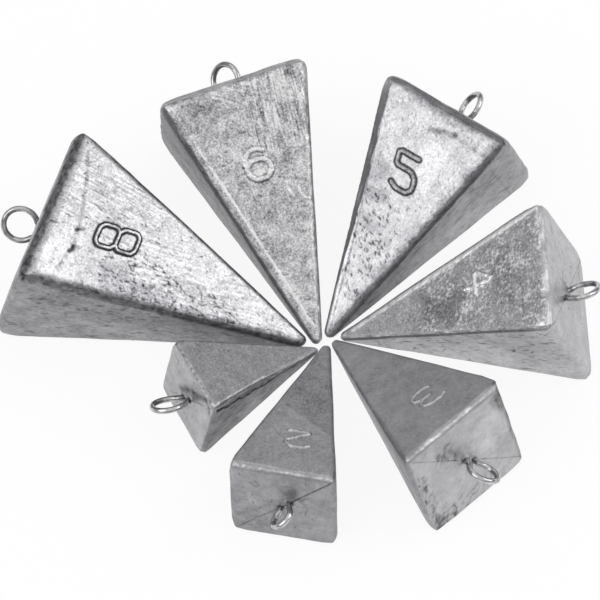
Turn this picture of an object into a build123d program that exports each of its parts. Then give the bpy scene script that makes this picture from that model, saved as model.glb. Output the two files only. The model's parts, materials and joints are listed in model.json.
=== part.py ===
from build123d import *
from dataclasses import dataclass
from functools import reduce
from itertools import combinations
from math import acos, atan2, cos, degrees, hypot, pi, radians, sin, tan
import os

# A graded set of seven pyramid fishing sinkers, laid on their sides with their points together.
# Each sinker is a lead casting and a wire eye that is cast into the middle of its base.
# Millimetres, +Z up. The origin is on the table, under the middle of the set.
# A sinker's left is on the left hand of someone who looks along it from its point to its base.

# Lead, for the printed weight of each casting beside the number cast on it
LEAD_DENSITY = 11.34      # grams per cubic centimetre
GRAMS_PER_OUNCE = 28.35

# Side of each square base, before the edges are rounded
SIDE_8OZ = 32.5
SIDE_6OZ = 29.0
SIDE_5OZ = 27.5
SIDE_4OZ = 26.0
SIDE_3OZ = 23.8
SIDE_2OZ = 20.0
SIDE_1OZ = 16.5

# Height of each pyramid, from its sharp point to its base
HEIGHT_8OZ = 57.0
HEIGHT_6OZ = 52.5
HEIGHT_5OZ = 49.8
HEIGHT_4OZ = 46.0
HEIGHT_3OZ = 42.0
HEIGHT_2OZ = 40.0
HEIGHT_1OZ = 29.0

# Rounding of every edge, corner and point: larger sinkers are blunter
BLUNT_EDGE_RADIUS = 1.4
EDGE_RADIUS = 1.2
SMALL_EDGE_RADIUS = 1.0
FINE_EDGE_RADIUS = 0.7

# Bearing of each sinker in the ring, from its point to its base, in degrees from +X
BEARING_8OZ = 151.5
BEARING_6OZ = 100.0
BEARING_5OZ = 46.5
BEARING_4OZ = -5.5
BEARING_3OZ = -58.0
BEARING_2OZ = -110.5
BEARING_1OZ = -160.5

# How far each rounded point lies out from the middle of the ring, along its bearing
TIP_OUT_8OZ = 3.2
TIP_OUT_6OZ = 0.1
TIP_OUT_5OZ = 1.1
TIP_OUT_4OZ = 2.9
TIP_OUT_3OZ = 0.9
TIP_OUT_2OZ = 0.6
TIP_OUT_1OZ = 1.7

# How far the middle of the ring is passed on the left
TIP_LEFT_8OZ = 1.2
TIP_LEFT_6OZ = 1.2
TIP_LEFT_5OZ = 0.3
TIP_LEFT_4OZ = 0.9
TIP_LEFT_3OZ = 1.3
TIP_LEFT_2OZ = 0.5
TIP_LEFT_1OZ = 0.4

# Room between the sinkers
TIP_CLEARANCE = 0.2       # least gap between two sinkers, seen from above
SPREAD_STEP = 0.1         # the least that the ring opens when sinkers need more room

# The wire of every eye, and how it stands in the lead
WIRE_DIAMETER = 1.1
LEG_GAP = 1.3             # clear space between the two legs
NECK_RADIUS = 1.5         # to the middle of the wire, where a leg turns into the loop
LEG_DEPTH = 7.0           # from the base to the middle of the feet
FOOT_BEND_RADIUS = 1.2    # to the middle of the wire, where a leg turns out into its foot
FOOT_LENGTH = 1.5         # straight end of a foot, which keeps the eye from pulling out
QUARTER_TURN = 90

# Loops bent by hand: inside diameter, and reach from the base to the outside of the loop
EYE_INSIDE = 5.1
EYE_REACH = 6.4
NARROW_EYE_INSIDE = 4.3
LONG_EYE_REACH = 7.2
SMALL_EYE_INSIDE = 3.0
SHORT_EYE_REACH = 5.4

# How far an eye stands off the middle of its base, along the mould's parting line, towards the upper corner
EYE_SHIFT_4OZ = 1.7
EYE_SHIFT_2OZ = 0.8

# The mould parts in a plane through two opposite slanted edges, 45 degrees up or down to the left
PARTING_UP = 45
PARTING_DOWN = -45

# The weight number, raised on the face that is up
NUMERAL_WIDTH = 5.2
NUMERAL_STROKE = 0.9
NUMERAL_RAISE = 0.4
NUMERAL_ROOT = 0.2        # how far the strokes reach into the lead below the face
NUMERAL_LEFT = 1.0        # of the face's middle line
NUMERAL_LEFT_8OZ = 0.4
NUMERAL_LEFT_6OZ = 0.3
NUMERAL_SLANT = 12        # degrees that the 8, the 5 and the 3 lean to the left
UPRIGHT_NUMERAL_SLANT = 3
NUMERAL_HEIGHT_8OZ = 8.6
NUMERAL_HEIGHT_6OZ = 6.4
NUMERAL_HEIGHT_5OZ = 7.4
NUMERAL_HEIGHT_4OZ = 7.0
NUMERAL_HEIGHT_3OZ = 5.7
NUMERAL_HEIGHT_2OZ = 5.3

# From the base edge to the middle of the number
NUMERAL_FROM_BASE_8OZ = 15.0
NUMERAL_FROM_BASE_6OZ = 16.6
NUMERAL_FROM_BASE_5OZ = 14.9
NUMERAL_FROM_BASE_4OZ = 14.4
NUMERAL_FROM_BASE_3OZ = 10.3
NUMERAL_FROM_BASE_2OZ = 9.7


@dataclass
class Sinker:
    """One sinker. Its own frame has the sharp point at the origin and the axis along +X."""
    ounces: int
    side: float
    height: float
    edge: float
    bearing: float
    tip_out: float
    tip_left: float
    parting_turn: float
    eye_inside: float
    eye_reach: float
    eye_shift: float = 0.0
    numeral_height: float = 0.0
    numeral_from_base: float = 0.0
    numeral_left: float = NUMERAL_LEFT
    numeral_slant: float = UPRIGHT_NUMERAL_SLANT

    @property
    def lean(self):
        """Angle between the axis and a side face, in degrees."""
        return degrees(atan2(self.side / 2, self.height))

    @property
    def core_tip(self):
        """From the sharp point to the middle of the rounded point, along the axis."""
        return self.edge / sin(radians(self.lean))

    @property
    def core_length(self):
        """Height of the inner pyramid whose rounding makes the casting."""
        return self.height - self.edge - self.core_tip

    @property
    def core_half(self):
        """Half the base side of that inner pyramid."""
        return self.side / 2 * self.core_length / self.height


SINKERS = [
    Sinker(8, SIDE_8OZ, HEIGHT_8OZ, BLUNT_EDGE_RADIUS, BEARING_8OZ, TIP_OUT_8OZ, TIP_LEFT_8OZ, PARTING_DOWN,
           EYE_INSIDE, EYE_REACH,
           numeral_height=NUMERAL_HEIGHT_8OZ, numeral_from_base=NUMERAL_FROM_BASE_8OZ,
           numeral_left=NUMERAL_LEFT_8OZ, numeral_slant=NUMERAL_SLANT),
    Sinker(6, SIDE_6OZ, HEIGHT_6OZ, EDGE_RADIUS, BEARING_6OZ, TIP_OUT_6OZ, TIP_LEFT_6OZ, PARTING_DOWN,
           EYE_INSIDE, EYE_REACH,
           numeral_height=NUMERAL_HEIGHT_6OZ, numeral_from_base=NUMERAL_FROM_BASE_6OZ,
           numeral_left=NUMERAL_LEFT_6OZ),
    Sinker(5, SIDE_5OZ, HEIGHT_5OZ, EDGE_RADIUS, BEARING_5OZ, TIP_OUT_5OZ, TIP_LEFT_5OZ, PARTING_DOWN,
           NARROW_EYE_INSIDE, EYE_REACH,
           numeral_height=NUMERAL_HEIGHT_5OZ, numeral_from_base=NUMERAL_FROM_BASE_5OZ,
           numeral_slant=NUMERAL_SLANT),
    Sinker(4, SIDE_4OZ, HEIGHT_4OZ, SMALL_EDGE_RADIUS, BEARING_4OZ, TIP_OUT_4OZ, TIP_LEFT_4OZ, PARTING_DOWN,
           EYE_INSIDE, EYE_REACH, EYE_SHIFT_4OZ,
           numeral_height=NUMERAL_HEIGHT_4OZ, numeral_from_base=NUMERAL_FROM_BASE_4OZ),
    Sinker(3, SIDE_3OZ, HEIGHT_3OZ, SMALL_EDGE_RADIUS, BEARING_3OZ, TIP_OUT_3OZ, TIP_LEFT_3OZ, PARTING_DOWN,
           NARROW_EYE_INSIDE, LONG_EYE_REACH,
           numeral_height=NUMERAL_HEIGHT_3OZ, numeral_from_base=NUMERAL_FROM_BASE_3OZ,
           numeral_slant=NUMERAL_SLANT),
    Sinker(2, SIDE_2OZ, HEIGHT_2OZ, SMALL_EDGE_RADIUS, BEARING_2OZ, TIP_OUT_2OZ, TIP_LEFT_2OZ, PARTING_UP,
           SMALL_EYE_INSIDE, SHORT_EYE_REACH, EYE_SHIFT_2OZ,
           numeral_height=NUMERAL_HEIGHT_2OZ, numeral_from_base=NUMERAL_FROM_BASE_2OZ),
    Sinker(1, SIDE_1OZ, HEIGHT_1OZ, FINE_EDGE_RADIUS, BEARING_1OZ, TIP_OUT_1OZ, TIP_LEFT_1OZ, PARTING_UP,
           EYE_INSIDE, LONG_EYE_REACH),
]

# Strokes of the numbers, on a grid where the number reaches from -1 to 1 both ways
NUMERAL_STROKES = {
    8: [[(-0.6, 0), (-1, 0.2), (-1, 0.8), (-0.6, 1), (0.6, 1), (1, 0.8), (1, 0.2), (0.6, 0), (-0.6, 0)],
        [(-0.6, 0), (-1, -0.2), (-1, -0.8), (-0.6, -1), (0.6, -1), (1, -0.8), (1, -0.2), (0.6, 0)]],
    6: [[(0.8, 0.8), (0.4, 1), (-0.3, 1), (-1, 0.4), (-1, -0.6), (-0.5, -1), (0.5, -1), (1, -0.6),
         (1, -0.1), (0.5, 0.3), (-0.5, 0.3), (-1, -0.1)]],
    5: [[(0.9, 1), (-1, 1), (-1, 0.2), (0.5, 0.2), (1, -0.1), (1, -0.7), (0.5, -1), (-0.5, -1), (-1, -0.8)]],
    4: [[(0.3, -1), (0.3, 1), (-1, -0.3), (1, -0.3)]],
    3: [[(-1, 0.8), (-0.5, 1), (0.5, 1), (1, 0.7), (1, 0.3), (0.5, 0), (-0.3, 0)],
        [(0.5, 0), (1, -0.3), (1, -0.7), (0.5, -1), (-0.5, -1), (-1, -0.8)]],
    2: [[(-1, 0.6), (-0.5, 1), (0.5, 1), (1, 0.6), (1, 0.2), (-1, -1), (1, -1)]],
}


def rounded_pyramid(sinker):
    """The casting's block: a square pyramid with its edges, corners and point rounded."""
    half = sinker.core_half
    base = sinker.core_tip + sinker.core_length
    point = (sinker.core_tip, 0, 0)
    corners = [(base, -half, -half), (base, half, -half), (base, half, half), (base, -half, half)]
    faces = [Face(Wire.make_polygon(corners))]
    for first, second in zip(corners, corners[1:] + corners[:1]):
        faces.append(Face(Wire.make_polygon([point, first, second])))
    core = Solid(Shell(faces))
    return offset(core, amount=sinker.edge, kind=Kind.ARC)


def raised_number(sinker):
    """The strokes of the weight number, standing on the upper face with their tops towards the base."""
    lean = radians(sinker.lean)
    slant_length = hypot(sinker.height, sinker.side / 2)
    up_face = Vector(cos(lean), 0, sin(lean))
    out_of_face = Vector(-sin(lean), 0, cos(lean))
    middle = up_face * (slant_length - sinker.numeral_from_base) + Vector(0, sinker.numeral_left, 0)
    face = Plane(origin=middle - out_of_face * NUMERAL_ROOT, x_dir=(0, -1, 0), z_dir=out_of_face)
    half_width = (NUMERAL_WIDTH - NUMERAL_STROKE) / 2
    half_height = (sinker.numeral_height - NUMERAL_STROKE) / 2
    sideways = tan(radians(sinker.numeral_slant))
    strokes = Sketch()
    for grid in NUMERAL_STROKES[sinker.ounces]:
        points = [(x * half_width - y * half_height * sideways, y * half_height) for x, y in grid]
        for start, end in zip(points, points[1:]):
            strokes += trace(Line(start, end), line_width=NUMERAL_STROKE)
    return extrude(face * strokes, amount=NUMERAL_RAISE + NUMERAL_ROOT)


def wire_eye(sinker):
    """The eye: one wire from foot to foot, up a leg, round the loop and down the other leg."""
    loop_radius = (sinker.eye_inside + WIRE_DIAMETER) / 2
    leg_place = (LEG_GAP + WIRE_DIAMETER) / 2
    loop_height = sinker.eye_reach - WIRE_DIAMETER / 2 - loop_radius
    flare = degrees(acos((leg_place + NECK_RADIUS) / (loop_radius + NECK_RADIUS)))
    neck_height = loop_height - (loop_radius + NECK_RADIUS) * sin(radians(flare))
    leg_length = LEG_DEPTH - FOOT_BEND_RADIUS + neck_height
    turn = radians(sinker.parting_turn)
    upward = 1 if turn > 0 else -1
    across = Vector(0, cos(turn), sin(turn))
    middle = Vector(sinker.height, 0, 0) + across * (upward * sinker.eye_shift)
    parting = Plane(origin=middle, x_dir=across, z_dir=(0, sin(turn), -cos(turn)))
    half_loop = QUARTER_TURN + flare
    with BuildPart() as eye:
        with BuildLine(parting) as bent_wire:
            foot_end = leg_place + FOOT_BEND_RADIUS + FOOT_LENGTH
            foot = Line((-foot_end, -LEG_DEPTH), (FOOT_LENGTH - foot_end, -LEG_DEPTH))
            bend = JernArc(foot @ 1, foot % 1, FOOT_BEND_RADIUS, QUARTER_TURN)
            leg = PolarLine(bend @ 1, leg_length, direction=bend % 1)
            neck = JernArc(leg @ 1, leg % 1, NECK_RADIUS, flare)
            rise = JernArc(neck @ 1, neck % 1, loop_radius, -half_loop)
            fall = JernArc(rise @ 1, rise % 1, loop_radius, -half_loop)
            far_neck = JernArc(fall @ 1, fall % 1, NECK_RADIUS, flare)
            far_leg = PolarLine(far_neck @ 1, leg_length, direction=far_neck % 1)
            far_bend = JernArc(far_leg @ 1, far_leg % 1, FOOT_BEND_RADIUS, QUARTER_TURN)
            PolarLine(far_bend @ 1, FOOT_LENGTH, direction=far_bend % 1)
        with BuildSketch(Plane(foot @ 0, z_dir=foot % 0)):
            Circle(WIRE_DIAMETER / 2)
        sweep()
    length = bent_wire.wire().length
    section = pi * WIRE_DIAMETER ** 2 / 4
    print(f"eye {sinker.ounces} oz: {length:.1f} mm of wire, volume over section times length"
          f" {eye.part.volume / (section * length):.4f}")
    return eye.part


def ring_place(sinker, spread):
    """Where the middle of a sinker's rounded point lies, seen from above, in an opened ring."""
    out = sinker.tip_out + sinker.edge + spread
    return Rot(0, 0, sinker.bearing) * Pos(out, sinker.tip_left, 0)


def footprint(sinker):
    """Plan outline of the inner pyramid as it lies on a face, with its point at the origin."""
    slant = hypot(sinker.core_length, sinker.core_half)
    upper = slant * cos(radians(2 * sinker.lean))
    half = sinker.core_half
    outline = [(0, 0), (upper, -half), (slant, -half), (slant, half), (upper, half)]
    return Face(Wire.make_polygon(outline))


def ring_spread():
    """How far the sinkers have to be drawn out along their bearings so that all of them clear."""
    outlines = [(sinker, footprint(sinker)) for sinker in SINKERS]
    spread = 0.0
    while True:
        placed = [(ring_place(sinker, spread) * outline, sinker.edge) for sinker, outline in outlines]
        pairs = combinations(placed, 2)
        least_gap = min(a.distance_to(b) - a_edge - b_edge for (a, a_edge), (b, b_edge) in pairs)
        if least_gap >= TIP_CLEARANCE:
            print(f"ring spread {spread:.1f} mm, least gap {least_gap:.2f} mm")
            return spread
        spread += max(TIP_CLEARANCE - least_gap, SPREAD_STEP)


def laid_down(sinker, spread):
    """From the sinker's own frame to its place in the ring, lying on one face."""
    tip_ahead = sinker.core_tip * cos(radians(sinker.lean))
    return ring_place(sinker, spread) * Pos(-tip_ahead, 0, 0) * Rot(0, -sinker.lean, 0)


def build_set():
    """Every piece at its place in the ring, by node name."""
    spread = ring_spread()
    pieces = {}
    for sinker in SINKERS:
        eye = wire_eye(sinker)
        casting = rounded_pyramid(sinker)
        if sinker.ounces in NUMERAL_STROKES:
            casting += raised_number(sinker)
        casting -= eye
        ounces = casting.volume / 1000 * LEAD_DENSITY / GRAMS_PER_OUNCE
        print(f"casting {sinker.ounces} oz: {ounces:.2f} oz of lead")
        place = laid_down(sinker, spread)
        pieces[f"casting_{sinker.ounces}oz"] = place * casting
        pieces[f"wire_eye_{sinker.ounces}oz"] = place * eye
    return pieces


pieces = build_set()
whole = reduce(BoundBox.add, [piece.bounding_box() for piece in pieces.values()])
centre = Pos(-whole.center().X, -whole.center().Y, -whole.min.Z)
print(f"set: {whole.size.X:.1f} by {whole.size.Y:.1f} by {whole.size.Z:.1f} mm,"
      f" ring middle at {centre.position.X:.2f}, {centre.position.Y:.2f}")
os.makedirs("parts", exist_ok=True)
for name, piece in pieces.items():
    export_step(centre * piece, f"parts/{name}.step")
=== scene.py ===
import json
from math import acos, atan2, cos, hypot, pi, radians, sin, tan

import bmesh
import bpy
import numpy as np
from mathutils import Matrix, Vector
from mathutils.bvhtree import BVHTree


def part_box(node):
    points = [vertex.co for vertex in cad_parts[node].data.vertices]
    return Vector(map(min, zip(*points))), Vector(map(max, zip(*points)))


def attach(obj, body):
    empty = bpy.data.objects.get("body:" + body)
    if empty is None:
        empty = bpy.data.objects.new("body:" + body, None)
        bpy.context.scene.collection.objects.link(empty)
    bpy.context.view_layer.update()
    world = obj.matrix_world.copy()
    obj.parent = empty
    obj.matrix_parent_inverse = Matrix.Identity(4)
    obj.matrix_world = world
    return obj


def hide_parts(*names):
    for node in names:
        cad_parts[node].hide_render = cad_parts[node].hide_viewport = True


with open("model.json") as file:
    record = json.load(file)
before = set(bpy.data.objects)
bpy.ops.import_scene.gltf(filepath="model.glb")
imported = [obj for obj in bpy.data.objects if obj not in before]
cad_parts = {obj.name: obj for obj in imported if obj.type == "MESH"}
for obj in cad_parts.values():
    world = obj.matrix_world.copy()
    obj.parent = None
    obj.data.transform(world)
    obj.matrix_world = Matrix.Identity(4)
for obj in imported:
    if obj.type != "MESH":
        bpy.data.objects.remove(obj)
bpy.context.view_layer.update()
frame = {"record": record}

# Looks of the seven pyramid sinkers: cast lead with a hammered skin, and bright wire eyes.
# Shapes are worked out in millimetres, in each sinker's own frame: sharp point at the origin,
# axis along +X, left hand +Y, upper face towards +Z. They go into the part's frame in metres.
# A spot on a face is (x, y). On the upper face x is to the right of the middle line, on the left
# and right faces it is up from theirs, and y runs from the base edge towards the point.
# On the base x is to the right and y is up, seen from outside.
MM = 0.001

# Wire eyes: the sizes of the CAD part, then how finely they are drawn and how unevenly they are bent
WIRE_DIAMETER = 1.1
LEG_GAP = 1.3
LEG_OFFSET = (LEG_GAP + WIRE_DIAMETER) / 2
NECK_RADIUS = 1.5
LEG_DEPTH = 7.0
FOOT_BEND_RADIUS = 1.2
FOOT_LENGTH = 1.5
PATH_STEP = 0.18
WIRE_ROUNDS = 20
EYE_SWAY = 0.25  # the most that the top of a loop leans or turns out of the parting plane
SKEW_SPAN = 3  # where its turn is that much, from the middle
# Darker inside the loop: painted shade, with some dirt
INNER_SHADE_AND_GRIME = 0.16
JOINT_GRIME = 0.15

# Raised numbers: the sizes of the CAD part, then the wear and the darkening round the strokes
NUMBER_WIDTH = 5.2
NUMBER_STROKE = 0.9
NUMBER_RAISE = 0.4
RAISE_LEFT = 0.9  # share of the raise that wear has left
STROKE_CUT = 0.14  # share of each straight stroke that a rounded corner takes
RIM_OFFSET = 0.08
RIM_WIDTH = 0.18

# Cast skin
SHRINK = 0.06  # how far the skin lies inside the CAD part
SWELL_LIMIT = 0.04  # the most that a swell stands out again
REST_HAMMER = 0.4  # hammered skin away from the upper face, as a share
REST_GRIT = 0.35  # the same for the fine grit
FLASH_WIDTH = 0.22  # ragged flash on the edges that lie in the parting plane
FLASH_RISE = 0.16
FLASH_END = 2.0, 4.0  # distances from the base between which it fades out
SEAM_WIDTH = 0.12  # parting line across the base
SEAM_DEPTH = 0.03
SEAM_GRIME = 0.30
COLLAR_RADIUS = 0.75  # lead drawn up round each leg of the wire
COLLAR_WIDTH = 0.30
COLLAR_RISE = 0.22
COLLAR_GRIME = 0.13
COLLAR_GRIME_RADIUS = 0.6
COLLAR_GRIME_WIDTH = 0.35

# Worn edges
LEAST_WEAR = 0.35  # share of an edge's rounding that is left at the point
FLAT_GROWTH = 1.6  # a planed flat has its full width from 1 / 1.6 of the height on
NORMAL_SUM = 1.47  # length of the sum of the normals of two slanted faces that meet
FLAT_DEPTH = 0.464  # how deep under the sharp edge a flat 1 mm wide lies
CORNER_STEPS = 60  # smoothing steps at the corners of the base
CORNER_PULL = 0.5  # share of the way to its neighbours that a point goes in a step

# A point belongs to a face by the cosine between their normals, and to an edge by 1 less its largest cosine
SEEN_FACE = 0.8
ON_FACE = 0.93, 0.995
TONE_TURN = 0.78, 0.98
ON_EDGE = 0.02, 0.25
ON_SHARP_EDGE = 0.1, 0.25

NOISE_CELLS = 256
NOISE_GAIN = 1.6
BRUSH_STRETCH = 0.06  # of the noise along brushed lines
FLOOR_WHITE = 0.90  # share of plain white in what the camera sees of the floor

# Strokes of the numbers, on a grid from -1 to 1 both ways
NUMBER_STROKES = {
    8: [[(-0.6, 0), (-1, 0.2), (-1, 0.8), (-0.6, 1), (0.6, 1), (1, 0.8), (1, 0.2), (0.6, 0), (-0.6, 0)],
        [(-0.6, 0), (-1, -0.2), (-1, -0.8), (-0.6, -1), (0.6, -1), (1, -0.8), (1, -0.2), (0.6, 0)]],
    6: [[(0.8, 0.8), (0.4, 1), (-0.3, 1), (-1, 0.4), (-1, -0.6), (-0.5, -1), (0.5, -1), (1, -0.6),
         (1, -0.1), (0.5, 0.3), (-0.5, 0.3), (-1, -0.1)]],
    5: [[(0.9, 1), (-1, 1), (-1, 0.2), (0.5, 0.2), (1, -0.1), (1, -0.7), (0.5, -1), (-0.5, -1), (-1, -0.8)]],
    4: [[(0.3, -1), (0.3, 1), (-1, -0.3), (1, -0.3)]],
    3: [[(-1, 0.8), (-0.5, 1), (0.5, 1), (1, 0.7), (1, 0.3), (0.5, 0), (-0.3, 0)],
        [(0.5, 0), (1, -0.3), (1, -0.7), (0.5, -1), (-0.5, -1), (-1, -0.8)]],
    2: [[(-1, 0.6), (-0.5, 1), (0.5, 1), (1, 0.6), (1, 0.2), (-1, -1), (1, -1)]],
}

FACES = ("top", "under", "left", "right", "base")


def smooth(low, high, value):
    """0 at low, 1 at high, an even turn between them."""
    t = np.clip((value - low) / (high - low), 0, 1)
    return t * t * (3 - 2 * t)


def noise(points, size, seed):
    """Gradient noise about 0, mostly within 1 of it, whose lumps are about as far apart as size."""
    rng = np.random.default_rng(seed)
    table = rng.permutation(NOISE_CELLS)
    slopes = rng.normal(size=(NOISE_CELLS, 3))
    slopes /= np.linalg.norm(slopes, axis=1, keepdims=True)
    scaled = points / size
    cell = np.floor(scaled).astype(int)
    inside = scaled - cell
    turn = inside ** 3 * (inside * (inside * 6 - 15) + 10)
    total = np.zeros(len(points))
    for corner in np.ndindex(2, 2, 2):
        key = np.zeros(len(points), int)
        for axis in range(3):
            key = table[(key + cell[:, axis] + corner[axis]) % NOISE_CELLS]
        weight = np.prod(np.where(corner, turn, 1 - turn), axis=1)
        total += weight * np.sum(slopes[key] * (inside - corner), axis=1)
    return total * NOISE_GAIN


def to_line(spots, line):
    """Distance of each spot from a line of joined points."""
    best = np.full(len(spots), np.inf)
    for start, end in zip(line, line[1:]):
        start = np.array(start, float)
        along = np.array(end, float) - start
        share = np.clip(((spots - start) @ along) / (along @ along), 0, 1)
        best = np.minimum(best, np.linalg.norm(spots - start - share[:, None] * along, axis=1))
    return best


def read(items, field, width=3, kind=float):
    """One field of a mesh's points or edges, a row for each."""
    found = np.zeros(len(items) * width, kind)
    items.foreach_get(field, found)
    return found.reshape(-1, width)


class Sinker:
    """One sinker: its sizes as in the CAD part, in millimetres and degrees, and its look.

    edge is the radius of its edges, bearing the way from its point to its base, and parting the slope of
    the parting line across its base. The eye is inside wide, stands reach out of the base, and is moved up
    along the parting line by shift. voxel is the size of the mesh. number holds the number's height, its
    distances from the base edge and to the left of the middle line, and its slant.
    """

    def __init__(self, ounces, side, height, edge, bearing, parting, inside, reach, voxel, shift=0.0,
                 number=None, **look):
        self.ounces, self.side, self.height, self.edge = ounces, side, height, edge
        self.inside, self.reach, self.voxel = inside, reach, voxel
        self.number, self.look = number, look
        self.bearing = radians(bearing)
        self.lean = atan2(side / 2, height)
        self.slant = hypot(height, side / 2)
        c, s = cos(self.lean), sin(self.lean)
        self.normals = np.array([(-s, 0, c), (-s, 0, -c), (-s, c, 0), (-s, -c, 0), (1, 0, 0)])
        upward = 1 if parting > 0 else -1
        c, s = cos(radians(parting)), sin(radians(parting))
        self.across = np.array([0, c, s])
        self.parting_normal = np.array([0, s, -c])
        self.eye_foot = np.array([height, 0, 0]) + self.across * upward * shift

    def half_width(self, y):
        """Half the width of a slanted face, at y from its base edge."""
        return self.side / 2 * (1 - y / self.slant)

    def placed(self, points):
        """From the own frame in millimetres to the part's frame in metres."""
        c, s = cos(self.lean), sin(self.lean)
        x, y, z = points.T
        x, z = x * c - z * s, x * s + z * c
        c, s = cos(self.bearing), sin(self.bearing)
        turned = np.stack([x * c - y * s, x * s + y * c, z], 1)
        # The rest mount lies in the middle of the lower face, two thirds of its length from the point
        rest = next(m for m in frame["record"]["mounts"] if m["name"] == f"rest_{self.ounces}oz")
        point = np.array(rest["pos_m"]) - np.array([c, s, 0]) * self.slant * 2 / 3 * MM
        return turned * MM + point

    def block(self):
        """A fine, even mesh of the rounded pyramid: nearest core points, outward directions and faces."""
        tip = self.edge / sin(self.lean)
        length = self.height - self.edge - tip
        base, half = tip + length, self.side / 2 * length / self.height
        corners = [(tip, 0, 0), (base, -half, -half), (base, half, -half), (base, half, half),
                   (base, -half, half)]
        hull = bmesh.new()
        for corner in corners:
            place = Matrix.Translation(corner)
            bmesh.ops.create_icosphere(hull, subdivisions=3, radius=self.edge, matrix=place)
        bmesh.ops.convex_hull(hull, input=hull.verts)
        bmesh.ops.delete(hull, geom=[v for v in hull.verts if not v.link_faces], context="VERTS")
        mesh = bpy.data.meshes.new("hull")
        hull.to_mesh(mesh)
        hull.free()
        rough = bpy.data.objects.new("hull", mesh)
        bpy.context.scene.collection.objects.link(rough)
        remesh = rough.modifiers.new("even", "REMESH")
        remesh.mode = "VOXEL"
        remesh.voxel_size = self.voxel
        bpy.context.view_layer.update()
        graph = bpy.context.evaluated_depsgraph_get()
        even = bpy.data.meshes.new_from_object(rough.evaluated_get(graph))
        work = bmesh.new()
        work.from_mesh(even)
        seen = [Vector(self.normals[FACES.index(name)]) for name in self.look["seen"]]
        edges = {e for f in work.faces if any(f.normal.dot(n) > SEEN_FACE for n in seen) for e in f.edges}
        edges = sorted(edges, key=lambda e: e.index)
        bmesh.ops.subdivide_edges(work, edges=edges, cuts=1, use_grid_fill=True)
        work.to_mesh(even)
        work.free()
        points = read(even.vertices, "co")
        faces = [tuple(p.vertices) for p in even.polygons]
        bpy.data.objects.remove(rough)
        bpy.data.meshes.remove(mesh)
        bpy.data.meshes.remove(even)
        core = BVHTree.FromPolygons(corners, [(4, 3, 2, 1), (0, 1, 2), (0, 2, 3), (0, 3, 4), (0, 4, 1)])
        near = np.array([core.find_nearest(p)[0] for p in points])
        out = points - near
        out /= np.linalg.norm(out, axis=1, keepdims=True)
        return near, out, faces


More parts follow.
